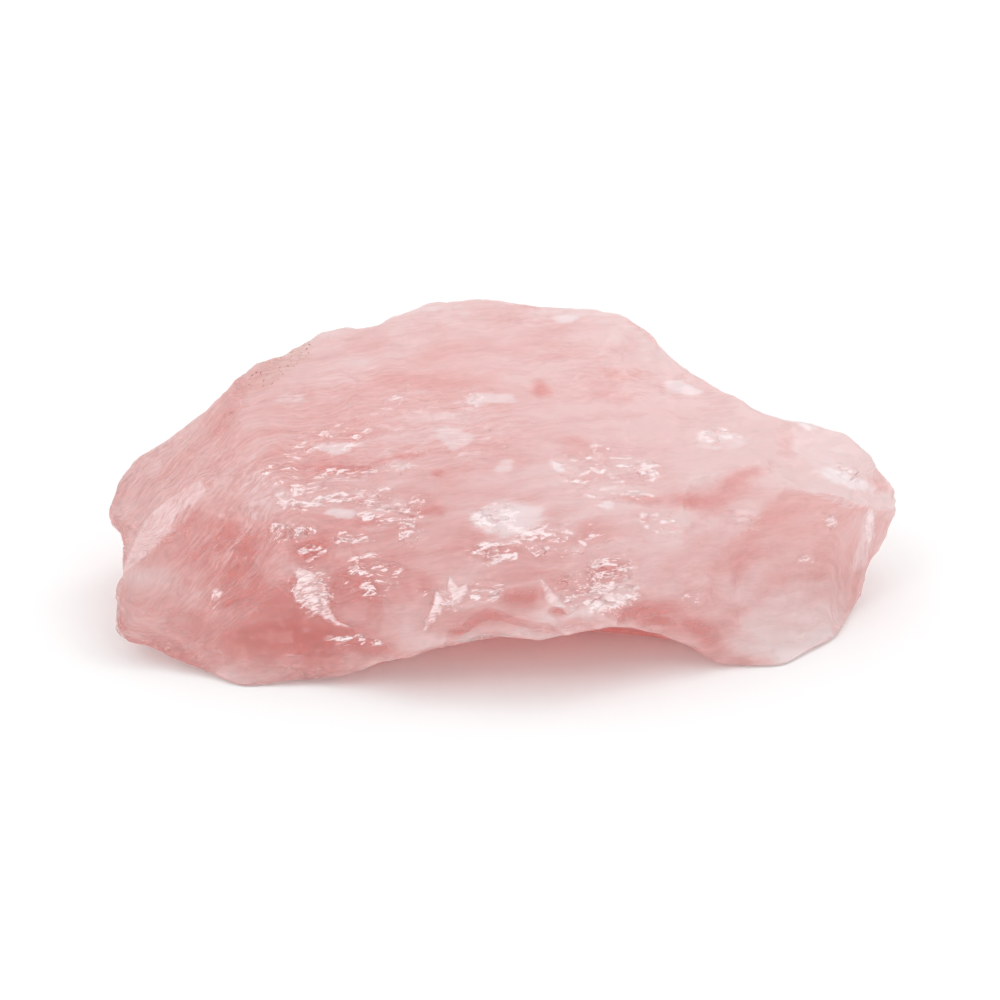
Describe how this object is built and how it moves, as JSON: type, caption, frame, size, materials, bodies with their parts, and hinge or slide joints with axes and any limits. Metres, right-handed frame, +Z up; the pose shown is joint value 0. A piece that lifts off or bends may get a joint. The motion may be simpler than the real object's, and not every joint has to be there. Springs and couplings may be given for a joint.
{
  "type": "rose quartz chunk",
  "caption": "Rough translucent pink quartz chunk with a broad sloping top, broken faces all round and a flat break underneath to rest on.",
  "frame": {"origin": "on the resting surface, under the centre of the chunk's bounding box", "axes": "+X along the length, to the right as seen in the picture; +Y away from the picture's camera; +Z up"},
  "size_m": [0.1516, 0.0868, 0.0524],
  "materials": {
    "rose_quartz": "translucent pale pink quartz with milky veils, glossy conchoidal breaks and small glints"
  },
  "bodies": {
    "root": {"rose_quartz_chunk": "rose_quartz"}
  },
  "joints": []
}
